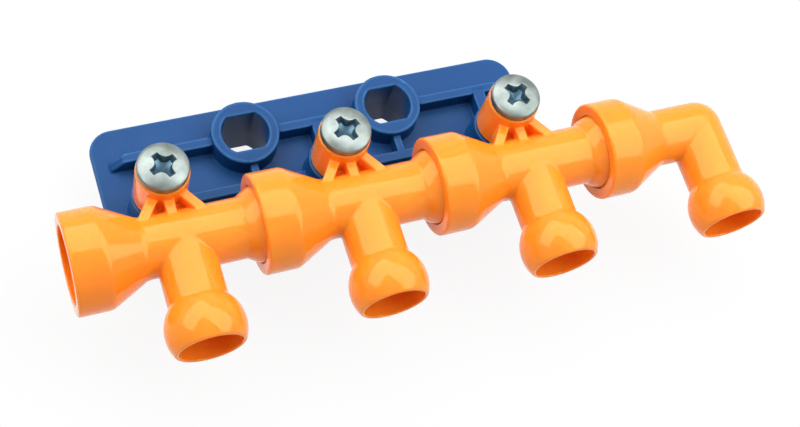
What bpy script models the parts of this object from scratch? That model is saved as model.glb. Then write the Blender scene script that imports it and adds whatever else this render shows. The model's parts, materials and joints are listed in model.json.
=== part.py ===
"""Four-way pipe splitter: three ball-and-socket tees and an end elbow, screwed to a moulded plate.

Lengths are in metres and +Z is up. The origin is on the plate's underside, midway between its two tubes.
The run of fittings lies along X, the inlet socket opens to -X and the outlets point to -Y.
"""

import math

import bmesh
import bpy
from mathutils import Vector

# Clearance between pieces that touch on the real thing
fit_gap = 0.0003
# How far a cutter reaches past the face that it cuts
cut_overrun = 0.001

# The run of tees
tee_count = 3
tee_pitch = 0.0291
run_height = 0.0109
run_to_tube_row = 0.0186

# Snap-on ball and socket
ball_radius = 0.0063
ball_mouth_reach = 0.0032
ball_inside_rim = 0.002
mouth_radius = 0.0049
mouth_length = 0.0042
mouth_draft = 0.0002
mouth_taper = 0.0024
mouth_edge = 0.0002
socket_outer_radius = 0.00805
socket_band_length = 0.0054
socket_cone_length = 0.006
socket_edge = 0.00035
socket_grip_depth = 0.0042
socket_floor_taper = 0.0034
rim_to_branch = 0.0175

# Pipes
run_pipe_radius = 0.00485
run_bore_radius = 0.0034
branch_pipe_radius = 0.0047
branch_bore_radius = 0.0032
branch_ball_offset = 0.0146
elbow_rim_to_branch = 0.0194

# Screw ear at the back of each tee, with its fan of ribs
ear_back_offset = 0.0095
ear_side_offset = 0.00076
ear_radius = 0.0042
ear_rise = 0.0059
ear_drop = 0.0028
ear_edge = 0.0003
ear_rib_rise = 0.004
ear_rib_width = 0.0016
ear_rib_drop = 0.0024
ear_web_thickness = 0.0028
ear_rib_count = 3
ear_rib_spread = math.radians(35)

# Pan-head screws
shank_radius = 0.002
screw_length = 0.016
screw_tip_length = 0.0012
screw_tip_radius = 0.0012
head_radius = 0.00415
head_height = 0.0018
head_rim_height = 0.0007
recess_arm_count = 4
recess_reach = 0.0023
recess_arm_width = 0.0011
recess_corner_reach = 0.00125
recess_depth = 0.0017
recess_bottom_share = 0.4
recess_turns = [math.radians(turn) for turn in (16, 22, 36)]

# Mounting plate
plate_thickness = 0.0014
plate_corner_radius = 0.004
plate_end_margin = 0.0081
plate_front_margin = 0.0068
plate_back_margin = 0.0068
plate_edge = 0.0003
post_top_radius = 0.0044
post_foot_radius = 0.0047
pilot_end_room = 0.0004
tube_spacing = 0.0248
tube_outer_radius = 0.0056
tube_rise = 0.0038
tube_drop = 0.0072
tube_edge = 0.0003
hole_radius = 0.00393
hole_across_flats = 0.00635
ridge_rise = 0.0028
ridge_width = 0.0016
ridge_end_inset = 0.0023
ridge_ramp = 0.0024
cross_rib_width = 0.00215
short_rib_width = 0.0013

# Facets round a full turn, and rings along an arc
round_facets = 32
bore_facets = 24
ball_rings = 8
socket_rings = 6
corner_rings = 8
corner_arc_steps = 5
dome_rings = 5
smooth_limit = math.radians(32)

# Shares with a plain meaning: half of a width or of a half turn, and a merge distance far under any gap
middle_share = 0.5
merge_share = 0.01

# Places that follow from the sizes
socket_radius = ball_radius + fit_gap
ball_inset = rim_to_branch - ball_inside_rim
run_ball_offset = tee_pitch - ball_inset
floor_level = plate_thickness
tube_row_y = 0
run_y = tube_row_y - run_to_tube_row
ear_row_y = run_y + ear_back_offset
ear_xs = [(index - (tee_count - 1) * middle_share) * tee_pitch for index in range(tee_count)]
branch_xs = [x + ear_side_offset for x in ear_xs]
elbow_x = branch_xs[-1] + tee_pitch - rim_to_branch + elbow_rim_to_branch
tube_xs = [-tube_spacing * middle_share, tube_spacing * middle_share]
ear_top_level = run_height + ear_rise
ear_base_level = run_height - ear_drop
post_top_level = ear_base_level - fit_gap
head_base_level = ear_top_level + fit_gap
screw_tip_level = head_base_level - screw_length
screw_hole_radius = shank_radius + fit_gap
ridge_level = floor_level + ridge_rise


def plastic(name, color, roughness):
    """A moulded plastic."""
    return surface(name, color, roughness, metallic=0)


def surface(name, color, roughness, metallic):
    """A plain Principled material."""
    material = bpy.data.materials.new(name)
    material.use_nodes = True
    material.diffuse_color = (*color, 1)
    shader = material.node_tree.nodes["Principled BSDF"]
    shader.inputs["Base Color"].default_value = (*color, 1)
    shader.inputs["Roughness"].default_value = roughness
    shader.inputs["Metallic"].default_value = metallic
    return material


def ring(radius, facets, place):
    """Corners of a regular ring, each set in space by place(across, up)."""
    turns = [2 * math.pi * index / facets for index in range(facets)]
    return [place(radius * math.cos(turn), radius * math.sin(turn)) for turn in turns]


def skin(name, rings):
    """A closed solid through rings with the same number of corners, capped at both ends."""
    shape = bmesh.new()
    loops = [[shape.verts.new(corner) for corner in corners] for corners in rings]
    for near, far in zip(loops, loops[1:]):
        for index, corner in enumerate(near):
            following = (index + 1) % len(near)
            shape.faces.new((corner, near[following], far[following], far[index]))
    shape.faces.new(loops[0])
    shape.faces.new(loops[-1])
    bmesh.ops.remove_doubles(shape, verts=shape.verts, dist=fit_gap * merge_share)
    bmesh.ops.recalc_face_normals(shape, faces=shape.faces)
    mesh = bpy.data.meshes.new(name)
    shape.to_mesh(mesh)
    shape.free()
    solid = bpy.data.objects.new(name, mesh)
    bpy.context.collection.objects.link(solid)
    return solid


def turned(name, profile, facets, origin, axis):
    """A solid of revolution from (distance along the axis, radius) pairs."""
    axis = Vector(axis)
    sideways = axis.orthogonal().normalized()
    if axis.z == 0:
        sideways = Vector((0, 0, 1)).cross(axis)
    upwards = axis.cross(sideways)
    origin = Vector(origin)

    def place_at(distance):
        return lambda across, up: origin + axis * distance + sideways * across + upwards * up

    return skin(name, [ring(radius, facets, place_at(distance)) for distance, radius in profile])


def prism(name, outline, bottom, top):
    """An upright solid over an outline of (x, y) corners."""
    return skin(name, [[Vector((x, y, level)) for x, y in outline] for level in (bottom, top)])


def arc(centre, radius, start, end, steps):
    """Points of an arc in a plane, both ends included."""
    angles = [start + (end - start) * step / steps for step in range(steps + 1)]
    return [(centre[0] + radius * math.cos(angle), centre[1] + radius * math.sin(angle)) for angle in angles]


def combine(solid, joined=(), cut=()):
    """Unite the solid with the joined shapes, cut the others out of it, and keep one plain mesh."""
    for operation, shapes in (("UNION", joined), ("DIFFERENCE", cut)):
        for shape in shapes:
            modifier = solid.modifiers.new(shape.name, "BOOLEAN")
            modifier.operation = operation
            modifier.solver = "EXACT"
            modifier.object = shape
    evaluated = solid.evaluated_get(bpy.context.evaluated_depsgraph_get())
    mesh = bpy.data.meshes.new_from_object(evaluated)
    solid.modifiers.clear()
    solid.data = mesh
    for shape in (*joined, *cut):
        bpy.data.objects.remove(shape)
    return solid


def finish(solid, name, material):
    """Name a finished piece, give it its material and smooth its round faces."""
    solid.name = name
    solid.data.name = name
    solid.data.materials.clear()
    solid.data.materials.append(material)
    solid.data.shade_smooth()
    solid.data.set_sharp_from_angle(angle=smooth_limit)
    return solid


def copy_of(solid, name, offset):
    """A further piece from the same mould, moved along X."""
    twin = bpy.data.objects.new(name, solid.data)
    twin.location = (offset, 0, 0)
    bpy.context.collection.objects.link(twin)
    return twin


# Fittings

def socket_outside(pipe_radius):
    """Outer profile of a socket, from its rim to the pipe at the end of its cone."""
    return [
        (0, socket_outer_radius - socket_edge),
        (socket_edge, socket_outer_radius),
        (socket_band_length, socket_outer_radius),
        (socket_band_length + socket_cone_length, pipe_radius),
    ]


def socket_inside(bore_radius):
    """Profile of the space inside a socket: the seat, which grips a ball past its middle, and a taper."""
    rim_angle = math.acos(-ball_inside_rim / socket_radius)
    floor_angle = math.acos(socket_grip_depth / socket_radius)
    seat = arc((ball_inside_rim, 0), socket_radius, rim_angle, floor_angle, socket_rings)
    taper_end = ball_inside_rim + socket_grip_depth + socket_floor_taper
    return [(-cut_overrun, seat[0][1])] + seat + [(taper_end, bore_radius)]


def ball_outside(centre, pipe_radius):
    """Outer profile of a ball end, from its neck to the edge of its mouth."""
    neck_angle = math.pi - math.asin(pipe_radius / ball_radius)
    edge_reach = ball_mouth_reach - mouth_edge
    edge_angle = math.acos(edge_reach / ball_radius)
    ball = arc((centre, 0), ball_radius, neck_angle, edge_angle, ball_rings)
    return ball + [(centre + ball_mouth_reach, ball[-1][1] - mouth_edge)]


def ball_inside(centre, bore_radius):
    """Profile of the space inside a ball end: a short taper, then the wide mouth with its slight draft."""
    mouth = centre + ball_mouth_reach
    return [
        (mouth - mouth_length - mouth_taper, bore_radius),
        (mouth - mouth_length, mouth_radius - mouth_draft),
        (mouth, mouth_radius),
        (mouth + cut_overrun, mouth_radius),
    ]


def ear_rib(name, ear, turn):
    """One rib of the fan that carries the ear, from the ear's middle into the pipe's wall."""
    length = ear_back_offset / math.cos(turn)
    ahead = Vector((math.sin(turn), -math.cos(turn)))
    aside = Vector((math.cos(turn), math.sin(turn))) * ear_rib_width * middle_share
    start = Vector((ear[0], ear[1]))
    end = start + ahead * length
    outline = [start - aside, end - aside, end + aside, start + aside]
    return prism(name, outline, run_height - ear_rib_drop, run_height + ear_rib_rise)


def ear_web(name, ear, turns):
    """The thin floor that closes the gaps of the fan at its lower side."""
    half = ear_rib_width * middle_share
    spread = [ear_back_offset * math.tan(turn) for turn in (turns[0], turns[-1])]
    outline = [
        (ear[0] - half, ear[1]),
        (ear[0] + spread[0], run_y),
        (ear[0] + spread[1], run_y),
        (ear[0] + half, ear[1]),
    ]
    bottom = run_height - ear_rib_drop
    return prism(name, outline, bottom, bottom + ear_web_thickness)


def make_tee(branch_x):
    """A tee: socket, run, hidden ball, branch with its ball-ended outlet, and the screw ear."""
    rim = (branch_x - rim_to_branch, run_y, run_height)
    run_ball = rim_to_branch + run_ball_offset
    outer_run = socket_outside(run_pipe_radius) + ball_outside(run_ball, run_pipe_radius)
    inner_run = socket_inside(run_bore_radius) + ball_inside(run_ball, run_bore_radius)
    body = turned("run", outer_run, round_facets, rim, (1, 0, 0))
    run_space = turned("run space", inner_run, bore_facets, rim, (1, 0, 0))

    centre = (branch_x, run_y, run_height)
    outer_branch = [(0, branch_pipe_radius)] + ball_outside(branch_ball_offset, branch_pipe_radius)
    inner_branch = [(0, branch_bore_radius)] + ball_inside(branch_ball_offset, branch_bore_radius)
    branch = turned("branch", outer_branch, round_facets, centre, (0, -1, 0))
    branch_space = turned("branch space", inner_branch, bore_facets, centre, (0, -1, 0))

    ear = (branch_x - ear_side_offset, ear_row_y)
    ear_profile = [
        (ear_base_level, ear_radius),
        (ear_top_level - ear_edge, ear_radius),
        (ear_top_level, ear_radius - ear_edge),
    ]
    boss = turned("ear", ear_profile, round_facets, (*ear, 0), (0, 0, 1))
    hole_ends = (ear_base_level - cut_overrun, ear_top_level + cut_overrun)
    hole_profile = [(level, screw_hole_radius) for level in hole_ends]
    hole = turned("ear hole", hole_profile, bore_facets, (*ear, 0), (0, 0, 1))
    fan_middle = (ear_rib_count - 1) * middle_share
    turns = [(index - fan_middle) * ear_rib_spread for index in range(ear_rib_count)]
    ribs = [ear_rib(f"ear rib {index}", ear, turn) for index, turn in enumerate(turns)]
    web = ear_web("ear web", ear, turns)
    return combine(body, joined=[branch, boss, web, *ribs], cut=[run_space, branch_space, hole])


def corner_place(bend):
    """Placing rule for a ring at a bend angle round the corner: outer side round, inner side mitred."""
    def place(across, up):
        outer = max(across, 0)
        inner = min(across, 0)
        x = elbow_x + inner + outer * math.sin(bend)
        y = run_y + inner + outer * math.cos(bend)
        return Vector((x, y, run_height + up))
    return place


def run_place(distance):
    """Placing rule for a ring across the run, at a distance from the elbow's rim."""
    x = elbow_x - elbow_rim_to_branch + distance
    return lambda across, up: Vector((x, run_y + across, run_height + up))


def branch_place(distance):
    """Placing rule for a ring across the elbow's outlet, at a distance from the run."""
    return lambda across, up: Vector((elbow_x + across, run_y - distance, run_height + up))


def bent(name, along_run, radius, along_branch, facets):
    """A solid that follows the elbow: a stretch of run, the corner at one radius, and the outlet."""
    bends = [middle_share * math.pi * step / corner_rings for step in range(corner_rings + 1)]
    rings = [ring(width, facets, run_place(distance)) for distance, width in along_run]
    rings += [ring(radius, facets, corner_place(bend)) for bend in bends]
    rings += [ring(width, facets, branch_place(distance)) for distance, width in along_branch]
    return skin(name, rings)


def make_elbow():
    """The end elbow: socket, pipe, rounded corner and ball-ended outlet."""
    along_run = socket_outside(branch_pipe_radius)
    along_branch = ball_outside(branch_ball_offset, branch_pipe_radius)
    body = bent("elbow", along_run, branch_pipe_radius, along_branch, round_facets)
    space_along_run = socket_inside(branch_bore_radius)
    space_along_branch = ball_inside(branch_ball_offset, branch_bore_radius)
    space = bent("elbow space", space_along_run, branch_bore_radius, space_along_branch, bore_facets)
    return combine(body, cut=[space])


# Screws

def recess_spokes(turn):
    """Corners of the cross recess from its middle: two at the end of each arm and one between arms."""
    arm_side = recess_arm_width * middle_share
    arm_angle = math.atan2(arm_side, recess_reach)
    arm_corner = math.hypot(arm_side, recess_reach)
    pitch = 2 * math.pi / recess_arm_count
    spokes = []
    for index in range(recess_arm_count):
        arm_end = [(-arm_angle, arm_corner), (arm_angle, arm_corner)]
        for offset, reach in arm_end + [(pitch * middle_share, recess_corner_reach)]:
            heading = turn + index * pitch + offset
            spokes.append(Vector((math.cos(heading), math.sin(heading), 0)) * reach)
    return spokes


def make_screw(x, turn):
    """A pan-head screw, its cross recess set at a turn about its axis."""
    dome_foot = head_base_level + head_rim_height
    dome_rise = head_height - head_rim_height
    climbs = [middle_share * math.pi * step / (dome_rings + 1) for step in range(dome_rings + 1)]
    dome = [(dome_foot + dome_rise * math.sin(climb), head_radius * math.cos(climb)) for climb in climbs]
    profile = [
        (screw_tip_level, screw_tip_radius),
        (screw_tip_level + screw_tip_length, shank_radius),
        (head_base_level, shank_radius),
        (head_base_level, head_radius),
        *dome,
    ]
    screw = turned("screw", profile, bore_facets, (x, ear_row_y, 0), (0, 0, 1))
    top = head_base_level + head_height
    levels = ((top - recess_depth, recess_bottom_share), (top, 1), (top + cut_overrun, 1))
    spokes = recess_spokes(turn)
    rings = [[Vector((x, ear_row_y, level)) + spoke * share for spoke in spokes] for level, share in levels]
    return combine(screw, cut=[skin("recess", rings)])


# Plate

def rounded_outline(low_x, high_x, low_y, high_y, radius):
    """A rectangle with round corners, anticlockwise."""
    quarter = math.pi * middle_share
    corners = [
        ((high_x - radius, low_y + radius), -quarter),
        ((high_x - radius, high_y - radius), 0),
        ((low_x + radius, high_y - radius), quarter),
        ((low_x + radius, low_y + radius), 2 * quarter),
    ]
    outline = []
    for centre, start in corners:
        outline += arc(centre, radius, start, start + quarter, corner_arc_steps)
    return outline


def double_d_outline(x, y):
    """A circle with two flats along X, anticlockwise."""
    flat = math.asin(hole_across_flats * middle_share / hole_radius)
    right = arc((x, y), hole_radius, -flat, flat, corner_arc_steps)
    left = arc((x, y), hole_radius, math.pi - flat, math.pi + flat, corner_arc_steps)
    return right + left


def ridge(name, y, low_x, high_x):
    """A long ridge with a ramp at each end."""
    foot = floor_level - plate_thickness * middle_share
    outline = [
        (low_x, floor_level),
        (low_x + ridge_ramp, ridge_level),
        (high_x - ridge_ramp, ridge_level),
        (high_x, floor_level),
        (high_x, foot),
        (low_x, foot),
    ]
    sides = (y - ridge_width * middle_share, y + ridge_width * middle_share)
    return skin(name, [[Vector((x, side, level)) for x, level in outline] for side in sides])


def upright_rib(name, x, near_y, far_y, width):
    """A rib across the plate, as high as the ridges."""
    half = width * middle_share
    outline = [(x - half, near_y), (x + half, near_y), (x + half, far_y), (x - half, far_y)]
    return prism(name, outline, floor_level - plate_thickness * middle_share, ridge_level)


def make_plate():
    """The mounting plate: floor, posts, ridges and ribs, and the two tubes that it is held by."""
    low_x = ear_xs[0] - plate_end_margin
    high_x = ear_xs[-1] + plate_end_margin
    low_y = ear_row_y - plate_front_margin
    high_y = tube_row_y + plate_back_margin
    full = rounded_outline(low_x, high_x, low_y, high_y, plate_corner_radius)
    inner = rounded_outline(
        low_x + plate_edge, high_x - plate_edge, low_y + plate_edge, high_y - plate_edge,
        plate_corner_radius - plate_edge,
    )
    layers = ((0, full), (floor_level - plate_edge, full), (floor_level, inner))
    plate = skin("plate", [[Vector((x, y, level)) for x, y in outline] for level, outline in layers])

    joined = []
    holes = []
    foot = floor_level - plate_thickness * middle_share
    pilot_floor = screw_tip_level - pilot_end_room
    for index, x in enumerate(ear_xs):
        post = [(foot, post_foot_radius), (post_top_level, post_top_radius)]
        joined.append(turned(f"post {index}", post, round_facets, (x, ear_row_y, 0), (0, 0, 1)))
        joined.append(upright_rib(f"cross rib {index}", x, ear_row_y, tube_row_y, cross_rib_width))
        pilot = [(pilot_floor, screw_hole_radius), (post_top_level + cut_overrun, screw_hole_radius)]
        holes.append(turned(f"pilot {index}", pilot, bore_facets, (x, ear_row_y, 0), (0, 0, 1)))
    tube_top = floor_level + tube_rise
    tube_profile = [
        (-tube_drop, tube_outer_radius),
        (tube_top - tube_edge, tube_outer_radius),
        (tube_top, tube_outer_radius - tube_edge),
    ]
    for index, x in enumerate(tube_xs):
        joined.append(turned(f"tube {index}", tube_profile, round_facets, (x, tube_row_y, 0), (0, 0, 1)))
        joined.append(upright_rib(f"short rib {index}", x, ear_row_y, tube_row_y, short_rib_width))
        outline = double_d_outline(x, tube_row_y)
        holes.append(prism(f"tube hole {index}", outline, -tube_drop - cut_overrun, tube_top + cut_overrun))
    for index, y in enumerate((ear_row_y, tube_row_y)):
        joined.append(ridge(f"ridge {index}", y, low_x + ridge_end_inset, high_x - ridge_end_inset))
    return combine(plate, joined=joined, cut=holes)


def main():
    for leftover in list(bpy.data.objects):
        bpy.data.objects.remove(leftover)
    orange = plastic("orange plastic", (0.91, 0.2, 0.012), 0.28)
    blue = plastic("blue plastic", (0.03, 0.11, 0.33), 0.35)
    zinc = surface("zinc plated steel", (0.62, 0.64, 0.6), 0.28, metallic=1)

    finish(make_plate(), "mounting_plate", blue)
    tee = finish(make_tee(branch_xs[0]), "tee_1", orange)
    for index in range(1, tee_count):
        copy_of(tee, f"tee_{index + 1}", index * tee_pitch)
    finish(make_elbow(), "end_elbow", orange)
    for index, x in enumerate(ear_xs):
        turn = recess_turns[index % len(recess_turns)]
        finish(make_screw(x, turn), f"screw_{index + 1}", zinc)


main()
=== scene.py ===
"""Looks of the four-way pipe splitter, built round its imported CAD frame.

Each piece is the surface of a distance field, with its fillets and rounded edges. The fields and the sizes
below are in millimetres where nothing else is said, and what Blender gets is in metres.
"""

import json
import math

import bpy
import numpy as np
from mathutils import Matrix, Vector

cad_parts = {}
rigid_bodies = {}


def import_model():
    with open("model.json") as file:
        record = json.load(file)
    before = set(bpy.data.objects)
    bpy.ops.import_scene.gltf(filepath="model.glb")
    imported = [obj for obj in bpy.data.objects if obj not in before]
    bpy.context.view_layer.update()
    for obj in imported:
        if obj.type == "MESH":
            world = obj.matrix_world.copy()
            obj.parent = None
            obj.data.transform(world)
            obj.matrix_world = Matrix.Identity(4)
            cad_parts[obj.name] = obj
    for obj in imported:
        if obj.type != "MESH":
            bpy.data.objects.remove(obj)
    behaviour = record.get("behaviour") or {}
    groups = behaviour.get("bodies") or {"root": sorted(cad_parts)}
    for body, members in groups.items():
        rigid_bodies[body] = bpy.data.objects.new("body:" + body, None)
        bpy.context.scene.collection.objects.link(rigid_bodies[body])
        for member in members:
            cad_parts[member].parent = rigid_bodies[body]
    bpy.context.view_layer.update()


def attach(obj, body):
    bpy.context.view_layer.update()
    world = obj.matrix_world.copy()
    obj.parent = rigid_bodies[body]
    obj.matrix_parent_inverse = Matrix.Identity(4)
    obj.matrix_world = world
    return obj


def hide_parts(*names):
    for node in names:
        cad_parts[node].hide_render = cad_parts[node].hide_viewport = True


MM = 0.001

# Places in the row frame
RUN_Y = -18.6
RUN_Z = 10.9
EAR_XS = (-29.1, 0.0, 29.1)
EAR_SIDE = 0.76
EAR_BACK = 9.5
EAR_Y = RUN_Y + EAR_BACK
ELBOW_X = 60.86

# Balls and their mouths
BALL_R = 6.3
BALL_REACH = 3.2
RUN_BALL = 13.6
BRANCH_BALL = 14.6
MOUTH_R = 4.9
MOUTH_LENGTH = 4.2
MOUTH_DRAFT = 0.2
MOUTH_TAPER = 2.4
MOUTH_EDGE = 0.3
NECK_BLEND = 0.2
STEP_BLEND = 0.4
BORE_BLEND = 0.8

# Sockets
SOCKET_R = 8.05
BAND = 5.4
CONE = 6.0
RIM_EDGE = 0.5
BAND_EDGE = 0.25
SEAT_R = 6.4
SEAT_INSET = 2.0
SEAT_GRIP = 4.2
SEAT_TAPER = 3.4
TAPER_OVERLAP = 0.6
RIM_TO_BRANCH = 17.5
RIM_TO_CORNER = 19.4

# Pipes
RUN_PIPE_R = 4.85
RUN_BORE_R = 3.4
RUN_BORE_START = 8.0
PIPE_R = 4.7
BORE_R = 3.2
SOCKET_BLEND = 0.3
BRANCH_BLEND = 0.2
CROSSING_BLEND = 0.4

# Ear
EAR_R = 4.2
EAR_RISE = 5.9
EAR_DROP = 2.8
EAR_EDGE = 0.45
RIB_RISE = 4.0
RIB_DROP = 2.4
RIB_HALF = 0.8
RIB_EDGE = 0.25
RIB_TURNS = [math.radians(turn) for turn in (-35, 0, 35)]
WEB_TOP = 1.4
EAR_BLEND = 0.3
SCREW_HOLE_R = 2.3

# Plate
PLATE_LOW = (-37.2, -15.9)
PLATE_HIGH = (37.2, 6.8)
PLATE_CORNER = 4.0
PLATE_T = 1.4
PLATE_EDGE = 0.5
POST_TOP = 7.8
POST_TOP_R = 4.4
POST_FOOT_R = 4.7
POST_EDGE = 0.2
PILOT_FLOOR = 0.7
TUBE_XS = (-12.4, 12.4)
TUBE_R = 5.6
TUBE_TOP = 5.2
TUBE_BOTTOM = -7.2
TUBE_EDGE = 0.3
TUBE_HOLE_R = 3.93
TUBE_HOLE_HALF_FLATS = 3.175
FOOT_BLEND = 0.2
RIDGE_TOP = 4.2
RIDGE_HALF = 0.8
RIDGE_RAMP = 2.4
RIDGE_INSET = 2.3
RAMP_EDGE = 0.5
EAR_RIB_HALF = 1.075
TUBE_RIB_HALF = 0.65
WALL_EDGE = 0.2
WALL_BLEND = 0.15

# The rounded edges of a moulding's hollows, and of an end that another shape covers
CUT_EDGE = 0.3
HIDDEN_EDGE = 0.01

# Screws
FIT_GAP = 0.3
HEAD_BASE = RUN_Z + EAR_RISE + FIT_GAP
HEAD_R = 4.15
HEAD_RIM = 0.7
HEAD_H = 1.8
HEAD_DOME = HEAD_H - HEAD_RIM
HEAD_DROP = 0.27
HEAD_EDGE = 0.3
UNDERSIDE_EDGE = 0.1
SCREW_LENGTH = 16.0
SHANK_TOP = 0.4
SHANK_BLEND = 0.2
CORE_R = 1.5
THREAD_R = 2.0
THREAD_PITCH = 1.6
THREAD_SHARPNESS = 3.2
THREAD_SLACK = 0.7
TIP_LENGTH = 1.6
TIP_R = 1.0

# Cross recess
RECESS_TURNS = [math.radians(turn) for turn in (25, 22, 36)]
RECESS_FLOOR = 2.4
RECESS_FLOOR_SLOPE = 0.65
RECESS_CORNER_BLEND = 1.9
RECESS_EDGE = 0.1
ARM_HALF = 0.45
ARM_REACH = 2.35
ARM_SIDE_SLOPE = 0.1
ARM_END_SLOPE = 0.6
ARM_END_SLACK = 0.85
ARM_FLARE = 0.1
ARM_FLARE_START = 1.2
ARM_FLARE_LENGTH = 1.2

# Painted shade in the screw recess: how deep it starts, over what depth it grows, and how far it reaches
RECESS_SHADE_START = 0.08
RECESS_SHADE_RAMP = 0.5
RECESS_SHADE_R = 2.9
RECESS_SHADE_BOTTOM = -0.8

# Meshes: the margins, in cells, are uneven so that no flat face falls on the grid
CELL = 0.25
PLATE_CELL_SHARE = 1.2
SCREW_CELL_SHARE = 0.56
LOW_MARGIN = 1.37
HIGH_MARGIN = 1.63
TEE_BOX = ((-17.5, -17.8, -8.1), (16.8, 13.7, 8.1))
ELBOW_BOX = ((-19.4, -17.8, -8.1), (6.3, 8.1, 8.1))
GRADIENT_STEP = 0.02
SMALLEST_SLOPE = 1e-6
SETTLING_STEPS = 4
SETTLING_REACH_SHARE = 0.4

# Colours and lustre
PLASTIC_IOR = 1.46
ORANGE_TONES = ((0.955, 0.258, 0.018), (0.975, 0.276, 0.023))
BLUE_TONES = ((0.002, 0.046, 0.165), (0.004, 0.054, 0.185))
# Painted highlight: the paler tone the blue turns to along its outer edges, and the pointiness over which
# it fades in
BLUE_EDGE_HIGHLIGHT_TONE = (0.03, 0.135, 0.33)
BLUE_EDGE_HIGHLIGHT_POINTINESS = (0.515, 0.57)
ZINC_TONES = ((0.125, 0.155, 0.145), (0.245, 0.28, 0.265))
# Painted shade: the dark blue-grey that the screw recesses turn to
ZINC_RECESS_SHADE_TONE = (0.085, 0.16, 0.215)
NOISE_MIDDLE = (0.3, 0.7)

# Floor, its reach in metres
FLOOR_TONE = (0.66, 0.66, 0.66)
FLOOR_GLOW_SHARE = 0.9
FLOOR_REACH = 3.0

# Light, with places in metres: both softboxes have an edge on the line from LIGHT_START to LIGHT_END
SOFTBOX_RADIANCE = 3.4
DIFFUSE_FILL = 0.22
LIGHT_START = Vector((-0.476, -0.154, 0.432))
LIGHT_END = Vector((0.209, 0.335, 0.525))
LEFT_LIGHT_FAR = Vector((-0.331, 0.404, 0.287))
RIGHT_LIGHT_FAR = Vector((0.467, -0.232, 0.251))
RIGHT_LIGHT_SHARES = (0.54, 1.15)

# Camera, as found from the photograph, its clipping in metres
SENSOR_WIDTH = 36.0
LENS = 66.6
CLIP = (0.01, 20.0)
EYE = Vector((-63.436, -101.574, 219.904))
EYE_RIGHT = Vector((0.93236769, -0.30447422, 0.19489983))
EYE_UP = Vector((0.20536614, 0.88977687, 0.4075805))
EYE_FORWARD = Vector((0.29751512, 0.33998906, -0.8921279))


# Distance fields, negative inside

def soft_min(a, b, k):
    """Union whose inner corner is filled."""
    blend = np.maximum(k - np.abs(a - b), 0) / k
    return np.minimum(a, b) - blend * blend * k * 0.25


def soft_max(a, b, k):
    """Intersection whose outer edge is rounded."""
    return -soft_min(-a, -b, k)


def line(u, v, start, end):
    """Signed distance to the line from start to end, positive on its left."""
    du, dv = end[0] - start[0], end[1] - start[1]
    return ((v - start[1]) * du - (u - start[0]) * dv) / math.hypot(du, dv)


def socket_solid(d, r, pipe):
    """Outside of a socket, d along the run from its rim."""
    cone = line(d, r, (BAND, SOCKET_R), (BAND + CONE, pipe))
    body = soft_max(r - SOCKET_R, cone, BAND_EDGE)
    return soft_max(body, -d, RIM_EDGE)


def socket_space(d, r, bore):
    """The ball's seat, its taper and the bore behind it."""
    seat = np.maximum(np.hypot(d - SEAT_INSET, r) - SEAT_R, d - SEAT_INSET - SEAT_GRIP)
    floor_r = math.sqrt(SEAT_R ** 2 - SEAT_GRIP ** 2)
    floor = SEAT_INSET + SEAT_GRIP
    taper = line(d, r, (floor, floor_r), (floor + SEAT_TAPER, bore))
    taper = np.maximum(taper, floor - TAPER_OVERLAP - d)
    return np.minimum(np.minimum(seat, taper), np.maximum(r - bore, floor - d))


def ball_solid(d, r, centre, pipe):
    """Pipe from d = 0 with a ball at its end, cut at the mouth."""
    body = soft_min(r - pipe, np.hypot(d - centre, r) - BALL_R, NECK_BLEND)
    return soft_max(soft_max(body, d - centre - BALL_REACH, MOUTH_EDGE), -d, HIDDEN_EDGE)


def ball_space(d, r, centre, bore):
    """Bore from d = 0 with a short taper and a wide mouth."""
    mouth = centre + BALL_REACH
    step = mouth - MOUTH_LENGTH
    taper = line(d, r, (step - MOUTH_TAPER, bore), (step, MOUTH_R - MOUTH_DRAFT))
    wide = line(d, r, (step, MOUTH_R - MOUTH_DRAFT), (mouth, MOUTH_R))
    return np.maximum(soft_min(r - bore, soft_max(taper, wide, STEP_BLEND), BORE_BLEND), -d)


def ear_fan(x, y, z):
    """Screw ear with its ribs and web, about the branch's axis."""
    dx, dy = x + EAR_SIDE, y - EAR_BACK
    boss = soft_max(np.hypot(dx, dy) - EAR_R, np.maximum(z - EAR_RISE, -EAR_DROP - z), EAR_EDGE)
    fan = None
    for turn in RIB_TURNS:
        ahead = dx * math.sin(turn) - dy * math.cos(turn)
        aside = np.abs(dx * math.cos(turn) + dy * math.sin(turn))
        rib = soft_max(aside - RIB_HALF, z - RIB_RISE, RIB_EDGE)
        ends = np.maximum(-ahead, ahead - EAR_BACK / math.cos(turn))
        rib = np.maximum(np.maximum(rib, -RIB_DROP - z), ends)
        fan = rib if fan is None else soft_min(fan, rib, EAR_BLEND)
    spread = RIB_TURNS[-1]
    sides = (np.abs(dx) - RIB_HALF) * math.cos(spread) + dy * math.sin(spread)
    ends = np.maximum(-RIB_DROP - z, np.maximum(dy, -dy - EAR_BACK))
    web = np.maximum(np.maximum(sides, z - WEB_TOP), ends)
    return soft_min(soft_min(fan, web, EAR_BLEND), boss, EAR_BLEND)


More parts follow.
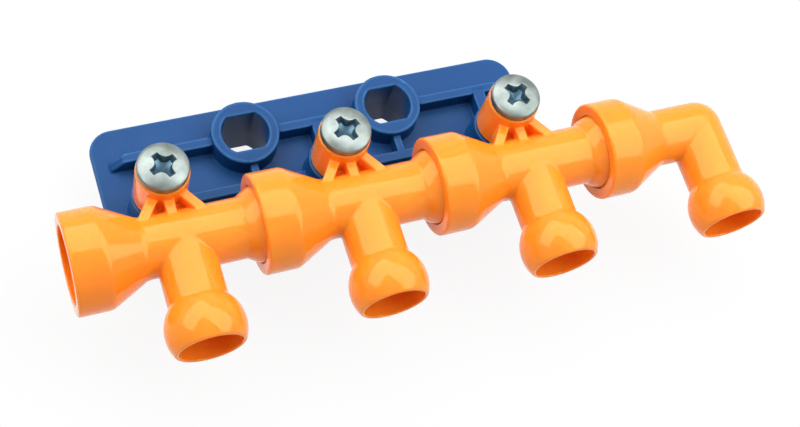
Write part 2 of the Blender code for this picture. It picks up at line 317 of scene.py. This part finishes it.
def tee_field(x, y, z):
    """A tee, about the point where its branch meets its run."""
    d = x + RIM_TO_BRANCH
    r = np.hypot(y, z)
    rb = np.hypot(x, z)
    rim_to_ball = RIM_TO_BRANCH + RUN_BALL
    pipe = ball_solid(d - BAND, r, rim_to_ball - BAND, RUN_PIPE_R)
    run = soft_min(socket_solid(d, r, RUN_PIPE_R), pipe, SOCKET_BLEND)
    body = soft_min(run, ball_solid(-y, rb, BRANCH_BALL, PIPE_R), BRANCH_BLEND)
    body = soft_min(body, ear_fan(x, y, z), EAR_BLEND)
    run_bore = ball_space(d - RUN_BORE_START, r, rim_to_ball - RUN_BORE_START, RUN_BORE_R)
    space = np.minimum(socket_space(d, r, RUN_BORE_R), run_bore)
    space = soft_min(space, ball_space(-y, rb, BRANCH_BALL, BORE_R), CROSSING_BLEND)
    space = np.minimum(space, np.hypot(x + EAR_SIDE, y - EAR_BACK) - SCREW_HOLE_R)
    return soft_max(body, -space, CUT_EDGE)


def elbow_field(x, y, z):
    """The end elbow, about its corner."""
    d = x + RIM_TO_CORNER
    r = np.hypot(y, z)
    rb = np.hypot(x, z)
    from_corner = np.sqrt(x * x + y * y + z * z)
    run = soft_min(socket_solid(d, r, PIPE_R), np.maximum(r - PIPE_R, BAND - d), SOCKET_BLEND)
    run = np.maximum(run, x)
    body = soft_min(run, ball_solid(-y, rb, BRANCH_BALL, PIPE_R), BRANCH_BLEND)
    body = np.minimum(body, from_corner - PIPE_R)
    space = np.minimum(np.maximum(socket_space(d, r, BORE_R), x), from_corner - BORE_R)
    space = np.minimum(space, ball_space(-y, rb, BRANCH_BALL, BORE_R))
    return soft_max(body, -space, CUT_EDGE)


def plate_floor(x, y, z):
    """The plate's flat floor with its rounded corners."""
    middle = [(low + high) / 2 for low, high in zip(PLATE_LOW, PLATE_HIGH)]
    half = [(high - low) / 2 - PLATE_CORNER for low, high in zip(PLATE_LOW, PLATE_HIGH)]
    qx, qy = np.abs(x - middle[0]) - half[0], np.abs(y - middle[1]) - half[1]
    corner = np.hypot(np.maximum(qx, 0), np.maximum(qy, 0))
    outline = corner + np.minimum(np.maximum(qx, qy), 0) - PLATE_CORNER
    return soft_max(outline, np.abs(z - PLATE_T / 2) - PLATE_T / 2, PLATE_EDGE)


def plate_walls(x, y, z):
    """The two ridges along the plate, with ramps at their ends, and the ribs between them."""
    end = abs(PLATE_LOW[0]) - RIDGE_INSET
    walls = None
    for row in (EAR_Y, 0.0):
        wall = soft_max(np.abs(y - row) - RIDGE_HALF, z - RIDGE_TOP, WALL_EDGE)
        for side in (-1, 1):
            ramp = line(side * x, z, (end - RIDGE_RAMP, RIDGE_TOP), (end, PLATE_T))
            wall = soft_max(wall, ramp, RAMP_EDGE)
        walls = wall if walls is None else np.minimum(walls, wall)
    for xs, half in ((EAR_XS, EAR_RIB_HALF), (TUBE_XS, TUBE_RIB_HALF)):
        for centre in xs:
            wall = soft_max(np.abs(x - centre) - half, z - RIDGE_TOP, WALL_EDGE)
            wall = np.maximum(wall, np.maximum(EAR_Y - y, y))
            walls = soft_min(walls, wall, WALL_BLEND)
    return np.maximum(walls, -z + PLATE_T / 2)


def plate_field(x, y, z):
    """The mounting plate, in the row frame."""
    body = soft_min(plate_floor(x, y, z), plate_walls(x, y, z), WALL_BLEND)
    holes = []
    for centre in EAR_XS:
        r = np.hypot(x - centre, y - EAR_Y)
        post = line(z, r, (PLATE_T, POST_FOOT_R), (POST_TOP, POST_TOP_R))
        post = np.maximum(soft_max(post, z - POST_TOP, POST_EDGE), PLATE_T / 2 - z)
        body = soft_min(body, post, FOOT_BLEND)
        holes.append(np.maximum(r - SCREW_HOLE_R, PILOT_FLOOR - z))
    for centre in TUBE_XS:
        r = np.hypot(x - centre, y)
        tube = soft_max(r - TUBE_R, np.maximum(z - TUBE_TOP, TUBE_BOTTOM - z), TUBE_EDGE)
        body = soft_min(body, tube, FOOT_BLEND)
        holes.append(np.maximum(r - TUBE_HOLE_R, np.abs(y) - TUBE_HOLE_HALF_FLATS))
    return soft_max(body, -np.minimum.reduce(holes), CUT_EDGE)


def screw_head(r, z):
    """A pan head, which reaches down past the CAD's underside to its ear."""
    dome = (np.hypot(r / HEAD_R, np.maximum(z - HEAD_RIM, 0) / HEAD_DOME) - 1) * HEAD_DOME
    return soft_max(soft_max(dome, r - HEAD_R, HEAD_EDGE), -z - HEAD_DROP, UNDERSIDE_EDGE)


def screw_shank(x, y, z, r):
    """A shank with a coarse thread and a short tip."""
    phase = (z / THREAD_PITCH - np.arctan2(y, x) / (2 * math.pi)) % 1.0
    crest = np.clip(1 - np.abs(phase - 0.5) * THREAD_SHARPNESS, 0, 1)
    thread = CORE_R + (THREAD_R - CORE_R) * crest
    shank = np.maximum((r - thread) * THREAD_SLACK, z - SHANK_TOP)
    tip = line(-z, r, (SCREW_LENGTH - TIP_LENGTH, THREAD_R), (SCREW_LENGTH, TIP_R))
    return np.maximum(np.maximum(shank, tip), -SCREW_LENGTH - z)


def cross_recess(x, y, z, r, turn):
    """Four tapering arms, whose ends flare a little, over a conical floor."""
    u = x * math.cos(turn) + y * math.sin(turn)
    v = y * math.cos(turn) - x * math.sin(turn)
    depth = HEAD_H - z
    arms = []
    for along, across in ((u, v), (v, u)):
        half = ARM_HALF + ARM_FLARE * np.clip(np.abs(along) - ARM_FLARE_START, 0, ARM_FLARE_LENGTH)
        side = np.abs(across) - half + ARM_SIDE_SLOPE * depth
        end = (np.abs(along) - ARM_REACH + ARM_END_SLOPE * depth) * ARM_END_SLACK
        arms.append(np.maximum(side, end))
    recess = soft_min(*arms, RECESS_CORNER_BLEND)
    return np.maximum(recess, depth - RECESS_FLOOR + RECESS_FLOOR_SLOPE * r)


def screw_field(turn):
    """The field of a screw about its axis, z from the CAD head's underside, its recess at a turn."""
    def field(x, y, z):
        r = np.hypot(x, y)
        body = soft_min(screw_head(r, z), screw_shank(x, y, z, r), SHANK_BLEND)
        return soft_max(body, -cross_recess(x, y, z, r, turn), RECESS_EDGE)
    return field


# Meshing

CORNERS = [(i, j, k) for i in (0, 1) for j in (0, 1) for k in (0, 1)]
EDGES = [
    (a, b) for a in range(len(CORNERS)) for b in range(a + 1, len(CORNERS))
    if sum(abs(p - q) for p, q in zip(CORNERS[a], CORNERS[b])) == 1
]


def gradient(field, points):
    """Unit gradient and its length."""
    slopes = []
    for axis in range(3):
        ahead, behind = points.copy(), points.copy()
        ahead[:, axis] += GRADIENT_STEP
        behind[:, axis] -= GRADIENT_STEP
        slopes.append((field(*ahead.T) - field(*behind.T)) / (2 * GRADIENT_STEP))
    slope = np.stack(slopes, 1)
    length = np.maximum(np.linalg.norm(slope, axis=1), SMALLEST_SLOPE)
    return slope / length[:, None], length


def cell_points(values, active):
    """The middle of the crossings on each active cell's edges, in cells."""
    corner_values = np.stack([values[tuple((active + corner).T)] for corner in CORNERS], 1).astype(float)
    summed = np.zeros((len(active), 3))
    hits = np.zeros(len(active))
    for a, b in EDGES:
        va, vb = corner_values[:, a], corner_values[:, b]
        crossed = (va < 0) != (vb < 0)
        share = np.where(crossed, va / np.where(crossed, va - vb, 1), 0)[:, None]
        point = np.array(CORNERS[a]) + share * (np.array(CORNERS[b]) - np.array(CORNERS[a]))
        summed += point * crossed[:, None]
        hits += crossed
    return active + summed / hits[:, None]


def cell_quads(inside, number):
    """A quad round each grid edge that the surface crosses, facing outwards."""
    quads = []
    for axis in range(3):
        u, v = (axis + 1) % 3, (axis + 2) % 3
        first = inside[tuple(slice(0, -1) if a == axis else slice(1, -1) for a in range(3))]
        second = inside[tuple(slice(1, None) if a == axis else slice(1, -1) for a in range(3))]
        for begins_inside in (True, False):
            at = np.argwhere((first != second) & (first == begins_inside))
            at[:, u] += 1
            at[:, v] += 1
            ring = []
            for su, sv in ((-1, -1), (0, -1), (0, 0), (-1, 0)):
                neighbour = at.copy()
                neighbour[:, u] += su
                neighbour[:, v] += sv
                ring.append(number[tuple(neighbour.T)])
            ring = np.stack(ring, 1)
            quads.append(ring if begins_inside else ring[:, ::-1])
    return np.concatenate(quads)


def surface_net(field, low, high, cell):
    """Vertices, quads and normals of the field's surface inside the box."""
    counts = [int(math.ceil((top - bottom) / cell)) + 1 for bottom, top in zip(low, high)]
    grid = [bottom + cell * np.arange(count) for bottom, count in zip(low, counts)]
    values = field(*np.meshgrid(*grid, indexing="ij")).astype(np.float32)
    inside = values < 0
    cells = [count - 1 for count in counts]
    total = np.zeros(cells, np.int8)
    for i, j, k in CORNERS:
        total += inside[i:i + cells[0], j:j + cells[1], k:k + cells[2]]
    active = np.argwhere((total > 0) & (total < len(CORNERS)))
    number = -np.ones(cells, np.int64)
    number[tuple(active.T)] = np.arange(len(active))
    points = np.array(low) + cell_points(values, active) * cell
    reach = cell * SETTLING_REACH_SHARE
    for _ in range(SETTLING_STEPS):
        normal, length = gradient(field, points)
        away = field(*points.T) / length
        points = points - normal * np.clip(away, -reach, reach)[:, None]
    return points, cell_quads(inside, number), gradient(field, points)[0]


def mesh_of(name, field, low, high, cell, offset):
    """A Blender mesh of a field, moved by offset."""
    low = [bottom - LOW_MARGIN * cell for bottom in low]
    high = [top + HIGH_MARGIN * cell for top in high]
    points, quads, normals = surface_net(field, low, high, cell)
    mesh = bpy.data.meshes.new(name)
    mesh.from_pydata(((points + np.array(offset)) * MM).tolist(), [], quads.tolist())
    mesh.shade_smooth()
    mesh.normals_split_custom_set_from_vertices(normals.tolist())
    return mesh


def mark_recess_shade(mesh, centre):
    """Stores how deep each point of a screw head lies in its recess, from 0 to 1, as the share of painted
    shade there.
    """
    flat = np.empty(len(mesh.vertices) * 3, np.float32)
    mesh.vertices.foreach_get("co", flat)
    x, y, z = (flat.reshape(-1, 3) / MM - np.array(centre)).T
    r = np.hypot(x, y)
    dome = HEAD_RIM + HEAD_DOME * np.sqrt(np.clip(1 - (r / HEAD_R) ** 2, 0, 1))
    depth = np.clip((dome - z - RECESS_SHADE_START) / RECESS_SHADE_RAMP, 0, 1)
    depth = depth * (r < RECESS_SHADE_R) * (z > RECESS_SHADE_BOTTOM)
    mesh.attributes.new("recess_shade", "FLOAT", "POINT").data.foreach_set("value", depth.astype(np.float32))


def piece(name, mesh, node, body, material, x=0.0):
    """Adds a shown piece that stands for a CAD node."""
    shown = bpy.data.objects.new(name, mesh)
    bpy.context.scene.collection.objects.link(shown)
    shown.location = (x * MM, 0, 0)
    if not mesh.materials:
        mesh.materials.append(material)
    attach(shown, body)
    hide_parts(node)


# Materials

def new_material(name):
    """A new material with its tree and shader."""
    material = bpy.data.materials.new(name)
    material.use_nodes = True
    tree = material.node_tree
    return material, tree, tree.nodes["Principled BSDF"]


def set_values(node, values):
    """Plain values on a node's sockets, by name."""
    for name, value in values.items():
        node.inputs[name].default_value = value


def noise(tree, scale, detail):
    """Noise in object space."""
    place = tree.nodes.new("ShaderNodeTexCoord")
    texture = tree.nodes.new("ShaderNodeTexNoise")
    set_values(texture, {"Scale": scale, "Detail": detail, "Roughness": 0.5})
    tree.links.new(place.outputs["Object"], texture.inputs["Vector"])
    return texture.outputs["Fac"]


def mapped(tree, value, source, target):
    """Maps one range of a value onto another, held at its ends."""
    node = tree.nodes.new("ShaderNodeMapRange")
    ends = {"From Min": source[0], "From Max": source[1], "To Min": target[0], "To Max": target[1]}
    set_values(node, ends)
    tree.links.new(value, node.inputs["Value"])
    return node.outputs["Result"]


def spread(tree, scale, detail, low, high):
    """Noise whose middle is spread from low to high."""
    return mapped(tree, noise(tree, scale, detail), NOISE_MIDDLE, (low, high))


def mixed(tree, share, first, second):
    """A colour between two, each of them a plain colour or another node's output."""
    mix = tree.nodes.new("ShaderNodeMix")
    mix.data_type = "RGBA"
    tree.links.new(share, mix.inputs["Factor"])
    for name, colour in (("A", first), ("B", second)):
        if isinstance(colour, tuple):
            mix.inputs[name].default_value = (*colour, 1)
        else:
            tree.links.new(colour, mix.inputs[name])
    return mix.outputs["Result"]


def painted_edge_highlight(tree, colour, highlight_colour, pointiness):
    """A painted highlight: a colour that turns paler along the outer edges of the shape."""
    shape = tree.nodes.new("ShaderNodeNewGeometry")
    highlight_share = mapped(tree, shape.outputs["Pointiness"], pointiness, (0, 1))
    return mixed(tree, highlight_share, colour, highlight_colour)


def bumped(tree, shader, layers):
    """Stacked bumps, each a noise's scale and detail, a strength and a distance in metres."""
    last = None
    for scale, detail, strength, distance in layers:
        bump = tree.nodes.new("ShaderNodeBump")
        set_values(bump, {"Strength": strength, "Distance": distance})
        tree.links.new(noise(tree, scale, detail), bump.inputs["Height"])
        if last is not None:
            tree.links.new(last, bump.inputs["Normal"])
        last = bump.outputs["Normal"]
    tree.links.new(last, shader.inputs["Normal"])


def orange_plastic():
    """Glossy moulded orange acetal, slightly translucent."""
    material, tree, shader = new_material("orange_acetal")
    tone = mixed(tree, spread(tree, 70, 3, 0, 1), *ORANGE_TONES)
    tree.links.new(tone, shader.inputs["Base Color"])
    tree.links.new(spread(tree, 240, 4, 0.07, 0.12), shader.inputs["Roughness"])
    set_values(shader, {
        "IOR": PLASTIC_IOR,
        "Specular IOR Level": 0.5,
        "Specular Tint": (1, 0.92, 0.5, 1),
        "Subsurface Weight": 0.6,
        "Subsurface Radius": (1.0, 0.15, 0.03),
        "Subsurface Scale": 0.004,
    })
    bumped(tree, shader, ((90, 2, 0.08, 0.0004), (1200, 3, 0.02, 0.0001)))
    return material


def blue_plastic():
    """Semi-gloss moulded blue plastic with a fine tool texture, and a painted highlight along its outer
    edges.
    """
    material, tree, shader = new_material("blue_plastic_moulded")
    tone = mixed(tree, spread(tree, 90, 4, 0, 1), *BLUE_TONES)
    # Painted highlight: the blue turns paler along its outer edges
    tone = painted_edge_highlight(tree, tone, BLUE_EDGE_HIGHLIGHT_TONE, BLUE_EDGE_HIGHLIGHT_POINTINESS)
    tree.links.new(tone, shader.inputs["Base Color"])
    tree.links.new(spread(tree, 350, 5, 0.4, 0.5), shader.inputs["Roughness"])
    set_values(shader, {
        "IOR": PLASTIC_IOR,
        "Specular IOR Level": 0.2,
        "Subsurface Weight": 0.06,
        "Subsurface Radius": (0.1, 0.3, 1.0),
        "Subsurface Scale": 0.0006,
    })
    bumped(tree, shader, ((120, 2, 0.1, 0.0004), (1500, 3, 0.04, 0.0001)))
    return material


def zinc_steel():
    """Bright zinc plating with a faint grain, and painted shade darkening the recess."""
    material, tree, shader = new_material("zinc_plated_steel")
    depth = tree.nodes.new("ShaderNodeAttribute")
    depth.attribute_name = "recess_shade"
    tone = mixed(tree, spread(tree, 450, 4, 0, 1), *ZINC_TONES)
    # Painted shade: the recess turns dark blue-grey by its depth
    tone = mixed(tree, depth.outputs["Fac"], tone, ZINC_RECESS_SHADE_TONE)
    tree.links.new(tone, shader.inputs["Base Color"])
    tree.links.new(spread(tree, 700, 3, 0.28, 0.42), shader.inputs["Roughness"])
    set_values(shader, {"Metallic": 0.7})
    bumped(tree, shader, ((260, 3, 0.1, 0.0002), (2500, 3, 0.04, 0.00005)))
    return material


def seen_rays(tree):
    """1 for the rays that show a background: camera, mirrored and transmitted ones."""
    path = tree.nodes.new("ShaderNodeLightPath")
    last = path.outputs["Is Camera Ray"]
    for kind in ("Is Glossy Ray", "Is Transmission Ray"):
        either = tree.nodes.new("ShaderNodeMath")
        either.operation = "MAXIMUM"
        tree.links.new(last, either.inputs[0])
        tree.links.new(path.outputs[kind], either.inputs[1])
        last = either.outputs[0]
    return last


def floor_material():
    """A plain pale floor that looks white to the camera and keeps a soft shadow."""
    material, tree, shader = new_material("pale_floor")
    set_values(shader, {"Base Color": (*FLOOR_TONE, 1), "Roughness": 0.9, "Specular IOR Level": 0.0})
    glow = tree.nodes.new("ShaderNodeEmission")
    set_values(glow, {"Color": (1, 1, 1, 1), "Strength": 1.0})
    share = mapped(tree, seen_rays(tree), (0, 1), (0, FLOOR_GLOW_SHARE))
    mix = tree.nodes.new("ShaderNodeMixShader")
    tree.links.new(share, mix.inputs["Fac"])
    tree.links.new(shader.outputs["BSDF"], mix.inputs[1])
    tree.links.new(glow.outputs["Emission"], mix.inputs[2])
    tree.links.new(mix.outputs["Shader"], tree.nodes["Material Output"].inputs["Surface"])
    return material


# Scene

def splitter():
    """All pieces of the splitter."""
    cell = CELL
    orange, blue, zinc = orange_plastic(), blue_plastic(), zinc_steel()
    tee = mesh_of("tee", tee_field, *TEE_BOX, cell, (EAR_XS[0] + EAR_SIDE, RUN_Y, RUN_Z))
    for index, x in enumerate(EAR_XS):
        node = f"tee_{index + 1}"
        piece(f"{node}_shell", tee, node, "manifold", orange, x - EAR_XS[0])
    elbow = mesh_of("elbow", elbow_field, *ELBOW_BOX, cell, (ELBOW_X, RUN_Y, RUN_Z))
    piece("end_elbow_shell", elbow, "end_elbow", "elbow", orange)
    low, high = (*PLATE_LOW, TUBE_BOTTOM), (*PLATE_HIGH, POST_TOP)
    plate = mesh_of("plate", plate_field, low, high, cell * PLATE_CELL_SHARE, (0, 0, 0))
    piece("mounting_plate_shell", plate, "mounting_plate", "manifold", blue)
    low, high = (-HEAD_R, -HEAD_R, -SCREW_LENGTH), (HEAD_R, HEAD_R, HEAD_H)
    for index, (x, turn) in enumerate(zip(EAR_XS, RECESS_TURNS)):
        node = f"screw_{index + 1}"
        centre = (x, EAR_Y, HEAD_BASE)
        screw = mesh_of(node, screw_field(turn), low, high, cell * SCREW_CELL_SHARE, centre)
        # Stores the share of painted shade in the recess
        mark_recess_shade(screw, centre)
        piece(f"{node}_shown", screw, node, "manifold", zinc)


def floor_plane():
    """The floor under the plate's tubes."""
    mesh = bpy.data.meshes.new("floor")
    corners = [(x * FLOOR_REACH, y * FLOOR_REACH, 0) for x, y in ((-1, -1), (1, -1), (1, 1), (-1, 1))]
    mesh.from_pydata(corners, [], [(0, 1, 2, 3)])
    mesh.materials.append(floor_material())
    floor = bpy.data.objects.new("floor", mesh)
    floor.location = (0, 0, TUBE_BOTTOM * MM)
    bpy.context.scene.collection.objects.link(floor)


def world_light():
    """Even fill for the object, and white behind it."""
    world = bpy.data.worlds.new("studio")
    bpy.context.scene.world = world
    world.use_nodes = True
    tree = world.node_tree
    background = tree.nodes["Background"]
    background.inputs["Color"].default_value = (1, 1, 1, 1)
    strength = mapped(tree, seen_rays(tree), (0, 1), (DIFFUSE_FILL, 1))
    tree.links.new(strength, background.inputs["Strength"])


def softbox(name, start, end, far):
    """A rectangular soft light with one edge from start to end, reaching across to far."""
    along = (end - start).normalized()
    middle = (start + end) / 2
    across = far - middle
    across -= across.dot(along) * along
    centre = middle + across / 2
    back = along.cross(across).normalized()
    if back.dot(centre) < 0:
        back = -back
    data = bpy.data.lights.new(name, "AREA")
    data.shape = "RECTANGLE"
    data.size = (end - start).length
    data.size_y = across.length
    data.energy = SOFTBOX_RADIANCE * math.pi * data.size * data.size_y
    light = bpy.data.objects.new(name, data)
    rotation = Matrix((along, back.cross(along), back)).transposed()
    light.matrix_world = Matrix.Translation(centre) @ rotation.to_4x4()
    bpy.context.scene.collection.objects.link(light)


def camera():
    """The camera at the photograph's viewing angle."""
    data = bpy.data.cameras.new("camera")
    data.sensor_width = SENSOR_WIDTH
    data.lens = LENS
    data.clip_start, data.clip_end = CLIP
    rotation = Matrix((EYE_RIGHT, EYE_UP, -EYE_FORWARD)).transposed()
    seen = bpy.data.objects.new("camera", data)
    seen.matrix_world = Matrix.Translation(EYE * MM) @ rotation.to_4x4()
    bpy.context.scene.collection.objects.link(seen)
    bpy.context.scene.camera = seen


def main():
    """Loads the frame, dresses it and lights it."""
    for leftover in list(bpy.data.objects):
        bpy.data.objects.remove(leftover)
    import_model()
    bpy.context.scene.view_settings.view_transform = "Standard"

    splitter()
    floor_plane()
    world_light()
    softbox("left_softbox", LIGHT_START, LIGHT_END, LEFT_LIGHT_FAR)
    start, end = (LIGHT_START.lerp(LIGHT_END, share) for share in RIGHT_LIGHT_SHARES)
    softbox("right_softbox", start, end, RIGHT_LIGHT_FAR)
    camera()


main()
